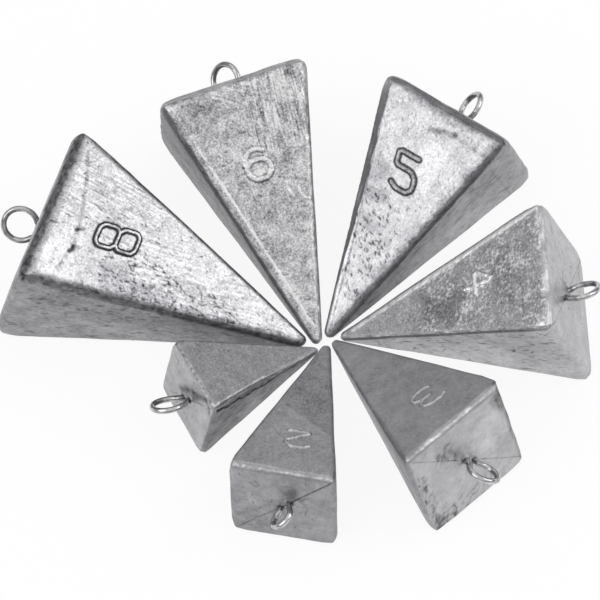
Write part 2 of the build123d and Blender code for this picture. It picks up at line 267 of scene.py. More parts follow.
class Skin:
    """The surface of a casting while it is worked.

    For each point, on says how far it belongs to each face, and spots where it lies on that face. shift
    cuts the edges back, move goes along out, tone is how light the metal is, painted highlights and light
    included, and grime how dirty it is, painted shade included.
    """

    def __init__(self, sinker):
        self.sinker = sinker
        self.seed = sinker.ounces * 100
        near, self.out, self.faces = sinker.block()
        self.points = near + sinker.edge * self.out
        facing = self.out @ sinker.normals.T
        self.on = dict(zip(FACES, smooth(*ON_FACE, facing).T))
        self.rounding = 1 - np.max(facing, axis=1)
        x, y, z = self.points.T
        c, s = cos(sinker.lean), sin(sinker.lean)
        flat = {"top": (-y, x * c + z * s), "under": (y, x * c - z * s), "left": (z, x * c + y * s),
                "right": (z, x * c - y * s)}
        self.spots = {name: np.stack([a, sinker.slant - b], 1) for name, (a, b) in flat.items()}
        self.spots["base"] = np.stack([y, z], 1)
        self.move = np.zeros(len(x))
        self.shift = np.zeros((len(x), 3))
        self.tone = np.zeros(len(x))
        self.grime_and_shade = np.zeros(len(x))

    def lumps(self, size, seed):
        """Noise over the casting, different on each sinker."""
        return noise(self.points, size, self.seed + seed)

    def normal(self, face):
        """The outward direction of a face."""
        return self.sinker.normals[FACES.index(face)]

    def depth(self, face):
        """How far each point lies below the plane of a face."""
        plane = self.sinker.height if face == "base" else 0.0
        return plane - (self.points + self.shift) @ self.normal(face)

    def ease(self, *edges):
        """Rounds edges further, less towards the point. An edge is two faces, a radius and a raggedness."""
        for first, second, radius, ragged in edges:
            size = radius * np.clip(self.points[:, 0] / self.sinker.height, LEAST_WEAR, 1)
            size = size * (1 + ragged * self.lumps(3.5, 50))
            normals = self.normal(first), self.normal(second)
            cosine = normals[0] @ normals[1]
            # Heights over the middle line of the rounding, and the way from it as shares of the normals
            heights = size - self.depth(first), size - self.depth(second)
            shares = [(heights[i] - cosine * heights[1 - i]) / (1 - cosine ** 2) for i in (0, 1)]
            away = np.outer(shares[0], normals[0]) + np.outer(shares[1], normals[1])
            far = np.linalg.norm(away, axis=1)
            outside = (shares[0] > 0) & (shares[1] > 0) & (far > size)
            self.shift[outside] += ((size / far - 1)[:, None] * away)[outside]

    def bevel(self, first, second, width, ragged=0.1):
        """Planes the edge between two slanted faces to a narrow flat."""
        size = width * np.clip(self.points[:, 0] / self.sinker.height * FLAT_GROWTH, LEAST_WEAR, 1)
        size = size * (1 + ragged * self.lumps(2.5, 51))
        towards = self.normal(first) + self.normal(second)
        towards /= np.linalg.norm(towards)
        below = (self.depth(first) + self.depth(second)) / NORMAL_SUM
        self.shift += np.minimum(below - FLAT_DEPTH * size, 0)[:, None] * towards

    def edge(self, first, second, width, ragged=0.3):
        """1 in a band along the edge between two faces, with ragged sides."""
        away = np.maximum(self.depth(first), self.depth(second))
        away = away + ragged * (self.lumps(2.0, 52) + 0.6 * self.lumps(0.8, 53))
        return smooth(width * 1.3, width * 0.7, away)

    def stroke(self, face, lean, low, high, height, light, fine=0.4, seed=54):
        """Brushed lines across a box of a face, fine apart, leaning from y towards x."""
        spots = self.spots[face]
        along = spots @ [sin(lean), cos(lean)]
        across = spots @ [cos(lean), -sin(lean)]
        flat = np.stack([across, BRUSH_STRETCH * along, 0 * along], 1)
        seeds = self.seed + seed, self.seed + seed + 1
        lines = noise(flat, fine, seeds[0]) + 0.7 * noise(flat, fine * 0.55, seeds[1])
        low, high = np.array(low), np.array(high)
        away = np.abs((spots - (low + high) / 2) / ((high - low) / 2)).max(1)
        where = smooth(1.15, 0.8, away + 0.25 * self.lumps(3.0, seed + 2)) * self.on[face]
        self.move += height * lines * where
        self.tone += light * lines * where

    def line(self, face, path, width, depth=0.0, dark=0.0, light=0.0, seed=60):
        """A worn line or dent, broken up along its way. A depth below 0 is a ridge."""
        mark = np.exp(-(to_line(self.spots[face], path) / width) ** 2) * self.on[face]
        mark *= np.clip(0.75 + 0.7 * self.lumps(1.1, seed), 0.1, 1.3)
        self.move -= depth * mark
        self.grime_and_shade += dark * mark
        self.tone += light * mark

    def patches(self, face, *clouds):
        """Clouds of lighter or darker metal. A cloud is a middle, size, light, seed and raggedness."""
        for middle, size, light, seed, ragged in clouds:
            away = np.linalg.norm((self.spots[face] - middle) / size, axis=1)
            away += ragged * (self.lumps(2.5, seed) + 0.6 * self.lumps(0.9, seed + 1))
            self.tone += light * smooth(1.3, 0.5, away) * self.on[face]

    def pits(self, face, count, low, high, size, dark, seed, lean=0.0, depth=0.03, spread=0.3):
        """Short pits in a box of a face, all lying about the same way: lean is from y towards x."""
        length, width = size
        rng = np.random.default_rng(self.seed + seed)
        here = np.flatnonzero(self.on[face] > 0.4)
        spots = self.spots[face][here]
        for _ in range(count):
            middle = rng.uniform(low, high)
            angle = lean + rng.normal(0, spread)
            half_length = length * rng.uniform(0.4, 1.3)
            half_width = width * rng.uniform(0.6, 1.3)
            strong = rng.uniform(0.4, 1.0)
            away = spots - middle
            close = np.flatnonzero(np.abs(away).max(1) < 2 * length)
            away = away[close]
            lengthwise = away @ [sin(angle), cos(angle)]
            sideways = away @ [cos(angle), -sin(angle)]
            mark = strong * np.exp(-(lengthwise / half_length) ** 4 - (sideways / half_width) ** 2)
            self.move[here[close]] -= depth * mark
            self.grime_and_shade[here[close]] += dark * mark


def rounded(line):
    """The same line with its corners cut."""
    points = np.array(line, float)
    ahead = points[1:]
    behind = points[:-1]
    keep = 1 - STROKE_CUT
    cuts = [keep * behind + STROKE_CUT * ahead, STROKE_CUT * behind + keep * ahead]
    return np.vstack([points[:1], np.stack(cuts, 1).reshape(-1, 2), points[-1:]])


def number_distance(sinker, spots):
    """Distance from the middle lines of the number's strokes, on the upper face."""
    height, from_base, left, slant = sinker.number
    half_width = (NUMBER_WIDTH - NUMBER_STROKE) / 2
    half_height = (height - NUMBER_STROKE) / 2
    local = np.stack([spots[:, 0] + left, from_base - spots[:, 1]], 1)
    best = np.full(len(spots), np.inf)
    for grid in NUMBER_STROKES[sinker.ounces]:
        line = [(x * half_width - y * half_height * tan(radians(slant)), y * half_height)
                for x, y in grid]
        best = np.minimum(best, to_line(local, rounded(line)))
    return best


def wear(skin):
    """Handling marks on every face: clouds of oxide, dashes along the sides and smudges on the base."""
    side, slant = skin.sinker.side, skin.sinker.slant
    edge, half = 0.45 * side, 0.5 * side
    skin.tone += 0.05 * skin.lumps(4.0, 80) + 0.04 * skin.lumps(1.4, 81)
    for i, face in enumerate(("under", "left", "right")):
        skin.pits(face, 50, (-edge, 0.04 * slant), (edge, 0.75 * slant), (0.8, 0.18), depth=0.05, dark=0.26,
                  seed=82 + i)
        skin.patches(face, ((0.1 * side, 0.15 * slant), (0.3 * side, 0.12 * slant), -0.06, 86 + i, 0.8),
                     ((-0.1 * side, 0.4 * slant), (0.15 * side, 0.2 * slant), 0.05, 89 + i, 0.8))
    if "base" not in skin.sinker.look["seen"]:
        skin.pits("base", 40, (-edge, -edge), (edge, edge), (0.6, 0.14), lean=0.7, depth=0.04, dark=0.26,
                  seed=92, spread=0.9)
        skin.stroke("base", lean=0.7, low=(-half, -half), high=(half, half), height=0.01, light=0.06,
                    fine=0.7, seed=93)
        for i, spot in enumerate(((-0.38, 0.36), (0.36, -0.40), (0.1, 0.12), (-0.40, -0.2))):
            skin.patches("base", (np.array(spot) * side, np.array((0.10, 0.07)) * side, -0.16, 96 + i, 0.9))
        skin.patches("base", ((0.15 * side, 0.3 * side), (0.25 * side, 0.14 * side), 0.07, 101, 0.8),
                     ((-0.1 * side, -0.28 * side), (0.3 * side, 0.14 * side), 0.05, 102, 0.8))


def marks_8(skin):
    """A bright, brushed face with painted shade along its well rounded edges, a bent line near its base, and
    many pits, and a left side with painted shade towards the point.
    """
    skin.ease(("top", "base", 2.8, 0.1), ("top", "left", 2.8, 0.2), ("top", "right", 2.4, 0.1),
              ("right", "base", 2.0, 0.2), ("left", "base", 1.6, 0.2), ("base", "under", 2.0, 0.2))
    # Painted shade along the rounded edges of the upper face, broken up by noise
    worn = np.clip(0.75 + 0.8 * skin.lumps(1.0, 48), 0.2, 1.3)
    skin.grime_and_shade += (0.36 * skin.edge("top", "base", 2.0) + 0.27 * skin.edge("top", "left", 1.6)) * worn
    skin.grime_and_shade += 0.22 * skin.edge("top", "right", 1.1) * worn
    skin.line("top", [(-11, 6.8), (-8, 7.4), (-6, 8), (-2, 7.6), (2, 6.8), (8, 5.2), (13.5, 3)], 0.30,
              depth=0.08, dark=0.22)
    skin.line("top", [(-6.8, 7.6), (-6.2, 8.2), (-5.6, 8.0)], 0.30, depth=0.18, dark=0.55)
    skin.line("top", [(-5.6, 8.0), (-5.2, 8.8)], 0.22, depth=0.10, dark=0.35, seed=68)
    skin.line("top", [(-2.6, 7.2), (-2.1, 7.9), (-1.7, 8.6)], 0.26, depth=0.18, dark=0.55)
    skin.line("top", [(-3.3, 2.2), (-3.1, 3.4), (-2.7, 4.5)], 0.20, depth=0.10, dark=0.50)
    skin.patches("top", ((-9, 5.5), (5, 3), 0.10, 61, 0.5), ((4, 12), (6, 7), -0.05, 62, 0.5),
                 ((-7.5, 20), (3, 9), -0.10, 63, 0.5), ((-3, 33), (2.5, 9), -0.06, 69, 0.5))
    skin.stroke("top", lean=0.0, low=(-2, 1.5), high=(12, 22), height=0.006, light=0.16)
    skin.stroke("top", lean=0.25, low=(-8, 16), high=(5, 50), height=0.006, light=0.12, fine=0.5, seed=57)
    skin.pits("top", 300, (-10, 14), (-1, 42), (0.45, 0.13), lean=-0.25, depth=0.05, dark=0.46, seed=31,
              spread=0.5)
    skin.pits("top", 200, (-13, 3), (8, 50), (0.35, 0.11), lean=-0.25, depth=0.04, dark=0.40, seed=32,
              spread=0.5)
    skin.pits("left", 80, (-15, 2), (15, 48), (0.9, 0.20), depth=0.05, dark=0.30, seed=33)
    skin.pits("left", 60, (2, 2), (13, 30), (0.6, 0.28), lean=0.2, depth=0.05, dark=0.26, seed=34, spread=0.8)
    skin.patches("left", ((-2, 6), (9, 8), 0.05, 64, 0.5), ((3, 26), (6, 9), -0.06, 65, 0.5))
    # Painted shade: the left side darker towards the point
    y = skin.spots["left"][:, 1]
    skin.tone -= 0.12 * smooth(26, 52, y + 3 * skin.lumps(3.0, 76)) * skin.on["left"]


def marks_6(skin):
    """A grained face with brushed lines, a raised ridge with a painted highlight along its left edge, painted
    light on its base and right edges, a crack and two wrinkles.
    """
    s = skin.sinker
    skin.ease(("top", "base", 1.9, 0.15), ("top", "left", 2.4, 0.35), ("top", "right", 1.9, 0.35),
              ("right", "base", 1.8, 0.2), ("left", "base", 1.5, 0.2))
    skin.grime_and_shade += 0.06 * skin.edge("top", "left", 1.3)
    skin.line("left", [(s.half_width(y) - 1.9, y) for y in (3, 14, 26, 38, 48)], 0.24, depth=0.04, dark=0.34,
              seed=72)
    # Painted light on the rounded base and right edges of the upper face
    skin.tone += 0.24 * skin.edge("top", "base", 1.2) + 0.20 * skin.edge("top", "right", 0.9)
    skin.patches("top", ((-0.4, 18.2), (0.9, 0.7), 0.30, 68, 0.2))
    # A raised ridge along the left edge, with a painted highlight on it
    edge = [(-s.half_width(y) + 2.0, y) for y in (2, 11, 24, 36, 48)]
    skin.line("top", edge[1:], 0.20, depth=-0.06, light=0.70)
    skin.line("top", edge[:2], 0.20, depth=-0.05, light=0.28, seed=66)
    skin.stroke("top", lean=-0.08, low=(0.5, 0.5), high=(12, 16), height=0.014, light=0.38, fine=0.34)
    skin.stroke("top", lean=1.0, low=(-4.5, 0.8), high=(3.5, 5.0), height=0.012, light=0.26, seed=103)
    skin.tone += (0.15 * skin.lumps(1.7, 76) + 0.15 * skin.lumps(3.4, 77)) * skin.on["top"]
    skin.patches("top", ((-6, 3.6), (4, 1.2), -0.14, 78, 0.9), ((8, 3), (3, 1.5), 0.10, 79, 0.9),
                 ((-7, 5), (6, 3), -0.08, 61, 0.5), ((-3, 27), (4, 6), -0.05, 62, 0.5),
                 ((0, 41), (3, 6), 0.05, 63, 0.5))
    skin.line("top", [(2.6, 20.0), (4.0, 20.9), (5.3, 21.2), (7.9, 22.6)], 0.22, depth=0.07, dark=0.30)
    skin.line("top", [(3.8, 21.6), (3.4, 22.6), (4.2, 24.2)], 0.16, depth=-0.10, light=0.34)
    skin.line("top", [(5.6, 22.8), (5.4, 24.0), (5.9, 25.0), (6.9, 25.7)], 0.16, depth=-0.10, light=0.30)
    skin.pits("top", 120, (-12, 2), (6, 48), (0.35, 0.14), lean=0.5, depth=0.05, dark=0.26, seed=31)
    for y in (30, 37, 41, 44):
        skin.patches("top", ((s.half_width(y) - 1.5, y), (0.9, 0.7), 0.22, 70 + y, 0.3))
    skin.pits("left", 40, (-12, 2), (12, 44), (1.0, 0.22), depth=0.05, dark=0.22, seed=33)


def marks_5(skin):
    """A bright face with a planed left edge with painted light on it, painted shade along its base and right
    edges, and slanted pits, and a right side with painted shade towards the point.
    """
    s = skin.sinker
    skin.ease(("top", "base", 1.8, 0.3))
    skin.bevel("top", "left", 2.5)
    skin.ease(("top", "right", 1.8, 0.4), ("left", "base", 1.8, 0.2), ("right", "base", 1.4, 0.2),
              ("base", "under", 1.7, 0.2))
    # Painted shade along the base and right edges of the upper face, and painted light on the planed left
    # edge
    skin.grime_and_shade += 0.16 * skin.edge("top", "base", 1.5) + 0.24 * skin.edge("top", "right", 1.0, 0.5)
    skin.tone += 0.08 * skin.edge("top", "left", 1.6, 0.12)
    edge = [(-s.half_width(y) + 1.85, y) for y in (2, 15, 30)] + [(-s.half_width(47) + 1.3, 47)]
    skin.line("top", edge, 0.15, depth=0.06, dark=0.34)
    # Painted shade on the upper face: darker towards the base edge and towards the right edge
    x, y = skin.spots["top"].T
    low = y + 1.0 * skin.lumps(2.0, 42) + 0.9 * skin.lumps(0.7, 44)
    skin.tone -= 0.26 * smooth(4.2, 1.6, low + 0.12 * np.abs(x)) * skin.on["top"]
    close = s.half_width(y) - x + 0.8 * skin.lumps(2.0, 43) + 0.5 * skin.lumps(0.7, 45)
    skin.tone -= 0.20 * smooth(2.4, 1.0, close) * skin.on["top"]
    skin.line("top", [(-0.5, 5.8), (2, 5.1), (4, 4.6)], 0.55, depth=0.10, dark=0.30)
    skin.line("top", [(4, 4.6), (8, 4.9), (12, 5.1)], 0.45, depth=0.08, dark=0.18, seed=67)
    skin.patches("top", ((-5.8, 16.5), (2.0, 2.5), -0.12, 61, 0.5), ((-4.2, 21), (2.4, 1.4), -0.16, 62, 0.5),
                 ((-2.5, 26.5), (3, 1.6), -0.10, 63, 0.5), ((3, 11), (4, 5), 0.06, 64, 0.5))
    skin.pits("top", 60, (-6, 20), (3, 31), (0.42, 0.13), lean=0.9, depth=0.07, dark=0.50, seed=31)
    skin.pits("top", 60, (-3, 28), (3.5, 42), (0.42, 0.13), lean=0.6, depth=0.07, dark=0.50, seed=32)
    skin.pits("top", 90, (-10, 3), (9, 22), (0.30, 0.11), lean=0.6, depth=0.04, dark=0.30, seed=33)
    skin.pits("right", 60, (-11, 3), (11, 40), (0.9, 0.20), depth=0.04, dark=0.22, seed=34)
    skin.line("right", [(-10, 6.0), (9, 6.4)], 0.20, depth=0.04, dark=0.12)
    # Painted shade: the right side darker towards the point, a little lighter near the base
    y = skin.spots["right"][:, 1]
    skin.tone += (0.05 - 0.26 * smooth(12, 42, y + 3 * skin.lumps(3.0, 76))) * skin.on["right"]


def marks_4(skin):
    """A speckled face with a raised ridge and painted highlight along its left edge, painted glints along its
    base edge, a painted shadow line under its right edge, and fine pits on the right side and the base.
    """
    s = skin.sinker
    skin.ease(("top", "base", 1.3, 0.4), ("top", "left", 1.2, 0.3), ("base", "right", 1.6, 0.2),
              ("left", "under", 1.8, 0.2))
    # A raised ridge along the left edge with a painted highlight on it, and more painted highlight on that
    # edge
    edge = [(-s.half_width(y) + 1.25, y) for y in (1, 15, 30, 42)]
    skin.line("top", edge, 0.42, depth=-0.10, light=0.85)
    skin.tone += 0.24 * skin.edge("top", "left", 0.9)
    y = skin.spots["top"][:, 1]
    # Painted glints along the base edge of the upper face
    sparkle = np.clip(skin.lumps(0.45, 46), 0, 1) * smooth(3.4, 1.0, y + 0.8 * skin.lumps(1.5, 47))
    skin.tone += 0.45 * sparkle * skin.on["top"]
    # Painted shadow line on the right side, just under its upper edge
    below = np.exp(-((skin.depth("top") - 0.7) / 0.3) ** 2)
    skin.grime_and_shade += 0.22 * below * smooth(1.4, 0.8, skin.depth("right"))
    far = smooth(25, 31, y + 1.5 * skin.lumps(3.0, 42))
    worms = (0.8 * skin.lumps(0.66, 48) + 0.9 * skin.lumps(0.36, 55) + 0.6 * skin.lumps(2.6, 49)
             + 0.4 * skin.lumps(5, 56))
    worms = np.clip(worms, 0, 1.2) * (1 - 0.8 * far) * skin.on["top"]
    skin.tone += 0.60 * worms + 0.07 * far * skin.on["top"]
    skin.move += 0.03 * worms
    skin.patches("top", ((1, 8.5), (6, 1.6), -0.15, 61, 0.5), ((1.5, 22), (4, 5), -0.17, 62, 0.5),
                 ((-3, 11), (3, 2), -0.12, 63, 0.5), ((6, 9), (3, 4), 0.08, 64, 0.5))
    skin.line("top", [(-1, 6.2), (4, 5.7), (9.5, 5.8)], 0.22, depth=0.05, dark=0.20)
    skin.line("top", [(-1, 16.8), (3, 17.6), (6, 17.8)], 0.2, depth=-0.04, light=0.22)
    skin.pits("right", 190, (-11, 2), (11, 38), (0.7, 0.13), lean=0.1, depth=0.05, dark=0.46, seed=31,
              spread=0.5)
    skin.pits("base", 60, (-10, -10), (10, 10), (0.6, 0.12), lean=0.4, dark=0.34, seed=32, spread=0.7)
    skin.patches("base", ((0.4, 1.5), (1.2, 2.6), -0.16, 65, 0.9))


def marks_3(skin):
    """A smooth, dull face with a dotted painted highlight along its base edge, and a base with dark marks
    round its rim.
    """
    skin.ease(("top", "base", 1.2, 0.3), ("left", "base", 2.9, 0.08), ("right", "under", 3.0, 0.08),
              ("top", "right", 2.0, 0.08))
    # Dotted painted highlight along the base edge of the upper face
    highlight_dots = np.clip(0.7 + 0.9 * skin.lumps(0.7, 46), 0, 1.4)
    skin.tone += 0.40 * skin.edge("top", "base", 0.7, 0.15) * highlight_dots
    skin.patches("top", ((1, 33), (5, 8), 0.04, 60, 0.5))
    for count, low, high, size, lean, dark, seed, spread in (
            (26, (-6.0, 4.0), (-1.5, 7.5), (0.9, 0.28), 0.3, 0.16, 61, 0.4),
            (14, (-3.2, 1.0), (-0.6, 4.0), (0.8, 0.28), 0.3, 0.16, 68, 0.4),
            (60, (-11.2, -11), (-8.8, 5), (0.7, 0.22), 0.4, 0.22, 62, 0.5),
            (30, (-10.6, -10.8), (-5.6, -7.6), (0.8, 0.22), 0.6, 0.22, 63, 0.5),
            (26, (8.6, 5.0), (11.2, 10), (0.9, 0.24), -0.2, 0.14, 66, 0.4),
            (16, (9.6, -2), (11.2, 5), (0.7, 0.20), 0.2, 0.16, 69, 0.4),
            (20, (-6.0, -10.5), (2.0, -7.0), (0.7, 0.20), 0.8, 0.20, 64, 0.5),
            (24, (-10, -10), (10, 10), (0.8, 0.11), 0.9, 0.24, 31, 0.5)):
        skin.pits("base", count, low, high, size, dark=dark, seed=seed, lean=lean, spread=spread)
    skin.patches("base", ((4, 3), (5, 4), 0.06, 65, 0.5), ((9.6, 8.6), (2.2, 2.6), -0.16, 70, 0.8),
                 ((-9.6, -9.6), (3.0, 2.8), -0.14, 71, 0.9))
    skin.stroke("base", lean=0.8, low=(-11, -11), high=(11, 11), height=0.004, light=0.025, fine=0.5)
    # Darker bands along the left and lower edges of the base
    skin.grime_and_shade += 0.30 * skin.edge("left", "base", 1.4, 0.5)
    skin.grime_and_shade += 0.18 * skin.edge("under", "base", 1.0, 0.4)


def marks_2(skin):
    """A smooth face, darker towards its point, a dotted painted highlight along its base edge, and scratches
    on the base.
    """
    skin.ease(("top", "base", 1.2, 0.3), ("left", "under", 2.0, 0.2), ("right", "under", 2.8, 0.2))
    # Dotted painted highlight along the base edge of the upper face
    highlight_dots = np.clip(0.6 + 0.9 * skin.lumps(0.6, 46), 0, 1.4)
    skin.tone += 0.36 * skin.edge("top", "base", 0.6, 0.15) * highlight_dots
    x, y = skin.spots["top"].T
    across = y - 13 - (x + 5) * 6 / 8.5 + 0.4 * skin.lumps(1.5, 42)
    skin.tone -= 0.10 * smooth(-0.3, 0.3, across) * skin.on["top"]
    skin.patches("base", ((1.9, 4.0), (1.8, 1.8), -0.14, 61, 0.8), ((-4, -5), (4, 2.5), -0.06, 62, 0.9))
    skin.line("base", [(0, 0), (9, 9)], 0.16, depth=0.04, dark=0.26)
    skin.pits("base", 40, (-8, -8), (8, 8), (0.45, 0.11), lean=1.2, dark=0.24, seed=31, spread=1.2)
    skin.line("base", [(3.2, 2.2), (4.6, 0.4), (4.0, -1.6), (5.6, -2.8)], 0.16, depth=0.03, dark=0.13)
    skin.line("base", [(-5.6, 5.4), (-4.8, 4.4), (-4.0, 5.2), (-4.8, 5.9)], 0.16, depth=0.03, dark=0.22,
              seed=69)
    skin.pits("top", 20, (-4, 18), (3, 30), (0.4, 0.13), lean=0.6, dark=0.24, seed=32)
    skin.pits("top", 20, (-8, 2), (8, 14), (0.3, 0.12), lean=0.6, dark=0.20, seed=33)


def marks_1(skin):
    """A dull face with a planed left edge and a ridge along it, a groove under that edge with painted shadow
    in it, a dotted painted highlight along the base edge, and a dark smear across the base.
    """
    s = skin.sinker
    skin.bevel("top", "left", 1.3)
    skin.ease(("base", "left", 1.0, 0.2))
    # A wavy groove under the planed edge, darkened with painted shadow, and a thinner one towards the point
    lip = [(s.half_width(y) - 1.1 + 0.22 * sin(1.3 * y) + 0.16 * sin(3.1 * y), y)
           for y in np.linspace(1, 16, 61)]
    skin.line("left", lip, 0.20, depth=0.16, dark=0.60)
    skin.line("left", [(s.half_width(y) - 0.7, y) for y in (16, 22, 28)], 0.16, depth=0.08, dark=0.40)
    # A raised ridge along the planed left edge, with a dotted painted highlight on it
    highlight_dots = [(-s.half_width(y) + 1.15, y) for y in (1.5, 8, 14)]
    skin.line("top", highlight_dots, 0.13, depth=-0.06, light=0.50)
    # Painted highlight on the planed left edge, and a dotted painted highlight along the base edge
    skin.tone += 0.10 * skin.edge("top", "left", 0.9, 0.2)
    dots = np.clip(0.4 + 1.2 * skin.lumps(0.7, 46), 0, 1.4)
    skin.tone += 0.26 * skin.edge("top", "base", 0.5, 0.15) * dots
    skin.line("base", [(-2.4, -0.2), (-0.5, 2.2), (1.2, 3.7)], 0.7, depth=0.03, dark=0.42)
    skin.line("base", [(1.2, 3.7), (3.0, 5.2), (4.9, 6.9)], 0.55, depth=0.03, dark=0.36, seed=64)
    skin.line("base", [(4.9, 6.9), (6.4, 6.0), (6.8, 5.0)], 0.40, depth=0.03, dark=0.32, seed=66)
    skin.pits("top", 90, (-6, 1), (6, 22), (0.22, 0.12), lean=0.3, depth=-0.03, dark=-0.22, seed=31)
    skin.pits("base", 30, (-7, -7), (7, 7), (0.5, 0.12), lean=0.8, dark=0.24, seed=32)


# The look: top, flank and base are the tones of the faces, 0 for black dirt and 1 for bright metal. They are
# partly the metal's own wear and partly painted light and shade, for how the lamps light each face. Faces in
# seen get a finer mesh. grain and burnish are the height and the light of the hammered skin, corner is how
# far the wear of the base corners reaches, and nick the depth of nicks along the edges. stroke and soft are
# half the width of the number's strokes and the softness of their sides, rim is the darkening round them and
# face the light on them. grit, speck and scratch are the strengths of fine grain, dark specks and
# scratches, and fine is the height of their bumps.
SINKERS = [
    Sinker(8, side=32.5, height=57.0, edge=1.4, bearing=151.5, parting=-45, inside=5.1, reach=6.4,
           voxel=0.32, number=(8.6, 15.0, 0.4, 12), marks=marks_8, seen=["top"],
           top=0.71, flank=0.455, base=0.60, grain=0.012, burnish=0.10, corner=2.6, grit=0.8, nick=0.16,
           stroke=0.34, soft=0.10, rim=1.0, face=0.10, speck=0.22, scratch=0.10, fine=0.022),
    Sinker(6, side=29.0, height=52.5, edge=1.2, bearing=100.0, parting=-45, inside=5.1, reach=6.4,
           voxel=0.30, number=(6.4, 16.6, 0.3, 3), marks=marks_6, seen=["top"],
           top=0.69, flank=0.42, base=0.58, grain=0.028, burnish=0.22, corner=2.4, grit=1.5, nick=0.16,
           stroke=0.45, soft=0.20, rim=0.26, face=0.26, speck=0.08, scratch=0.05, fine=0.030),
    Sinker(5, side=27.5, height=49.8, edge=1.2, bearing=46.5, parting=-45, inside=4.3, reach=6.4,
           voxel=0.30, number=(7.4, 14.9, 1.0, 12), marks=marks_5, seen=["top"],
           top=0.69, flank=0.49, base=0.62, grain=0.012, burnish=0.07, corner=2.2, grit=0.65, nick=0.16,
           stroke=0.42, soft=0.12, rim=0.65, face=-0.20, speck=0.14, scratch=0.06, fine=0.024),
    Sinker(4, side=26.0, height=46.0, edge=1.0, bearing=-5.5, parting=-45, inside=5.1, reach=6.4,
           shift=1.7, voxel=0.32, number=(7.0, 14.4, 1.0, 3), marks=marks_4, seen=["top", "base", "right"],
           top=0.53, flank=0.65, base=0.65, grain=0.014, burnish=0.12, corner=2.0, grit=1.0, nick=0.12,
           stroke=0.36, soft=0.16, rim=0.10, face=0.55, speck=0.06, scratch=0.04, fine=0.026),
    Sinker(3, side=23.8, height=42.0, edge=1.0, bearing=-58.0, parting=-45, inside=4.3, reach=7.2,
           voxel=0.28, number=(5.7, 10.3, 1.0, 12), marks=marks_3, seen=["top", "base"],
           top=0.55, flank=0.48, base=0.66, grain=0.005, burnish=0.05, corner=3.0, grit=0.35, nick=0.03,
           stroke=0.24, soft=0.14, rim=0.18, face=0.17, speck=0.02, scratch=0.04, fine=0.020),
    Sinker(2, side=20.0, height=40.0, edge=1.0, bearing=-110.5, parting=45, inside=3.0, reach=5.4,
           shift=0.8, voxel=0.26, number=(5.3, 9.7, 1.0, 3), marks=marks_2, seen=["top", "base"],
           top=0.59, flank=0.46, base=0.50, grain=0.007, burnish=0.08, corner=1.8, grit=0.5, nick=0.06,
           stroke=0.24, soft=0.14, rim=0.16, face=0.16, speck=0.04, scratch=0.04, fine=0.020),
    Sinker(1, side=16.5, height=29.0, edge=0.7, bearing=-160.5, parting=45, inside=5.1, reach=7.2,
           voxel=0.22, marks=marks_1, seen=["top", "base", "left"],
           top=0.54, flank=0.38, base=0.61, grain=0.008, burnish=0.10, corner=1.3, grit=0.6, nick=0.08,
           speck=0.05, scratch=0.04, fine=0.024),
]


def cast_skin(skin):
    """Swells, hammered skin, and nicks along the edges."""
    look = skin.sinker.look
    swell = skin.lumps(9.0, 1) * 0.10 + skin.lumps(4.0, 2) * 0.035
    skin.move += np.minimum(swell, SWELL_LIMIT) - SHRINK
    hammered = 0.7 * skin.lumps(0.7, 3) + skin.lumps(0.36, 4)
    hammered *= REST_HAMMER + (1 - REST_HAMMER) * skin.on["top"]
    skin.move += look["grain"] * hammered
    skin.tone += look["burnish"] * hammered
    nicks = skin.lumps(2.2, 6) + 0.6 * skin.lumps(0.9, 7)
    skin.move -= look["nick"] * smooth(*ON_EDGE, skin.rounding) * np.clip(nicks + 0.25, 0, 1.2)


def raised_number(skin):
    """The weight's number on the upper face, with a darker line along the foot of its strokes."""
    look = skin.sinker.look
    distance = number_distance(skin.sinker, skin.spots["top"])
    upper = skin.on["top"] > 0.5
    half, soft = look["stroke"], look["soft"]
    stroke = smooth(half + soft, half - soft, distance) * upper
    stroke *= np.clip(1 + 0.4 * skin.lumps(1.2, 8) + 0.4 * skin.lumps(0.5, 11), 0, 1)
    skin.move += RAISE_LEFT * NUMBER_RAISE * stroke
    skin.grime_and_shade += look["rim"] * np.exp(-((distance - half - RIM_OFFSET) / RIM_WIDTH) ** 2) * upper
    skin.tone += look["face"] * stroke


def mould_marks(skin):
    """Flash and a seam along the parting plane, and collars of lead round the legs of the wire."""
    sinker, points, base = skin.sinker, skin.points, skin.on["base"]
    off_plane = np.abs(points @ sinker.parting_normal)
    ragged = np.clip(noise(points * [1, 0, 0], 1.6, skin.seed + 9) + 0.35, 0, 1)
    flash = np.exp(-(off_plane / FLASH_WIDTH) ** 2) * smooth(*ON_SHARP_EDGE, skin.rounding) * ragged
    flash *= smooth(sinker.height - FLASH_END[0], sinker.height - FLASH_END[1], points[:, 0])
    skin.move += FLASH_RISE * flash
    seam = np.exp(-(off_plane / SEAM_WIDTH) ** 2) * base
    skin.move -= SEAM_DEPTH * seam
    skin.grime_and_shade += SEAM_GRIME * seam * np.clip(0.6 + skin.lumps(2.0, 10), 0, 1)
    for hand in (-1, 1):
        hole = np.linalg.norm(points - sinker.eye_foot - hand * LEG_OFFSET * sinker.across, axis=1)
        hole = hole + 0.25 * skin.lumps(0.8, 12)
        skin.move += COLLAR_RISE * np.exp(-((hole - COLLAR_RADIUS) / COLLAR_WIDTH) ** 2) * base
        dirt = np.exp(-((hole - COLLAR_GRIME_RADIUS) / COLLAR_GRIME_WIDTH) ** 2)
        skin.grime_and_shade += COLLAR_GRIME * dirt * base


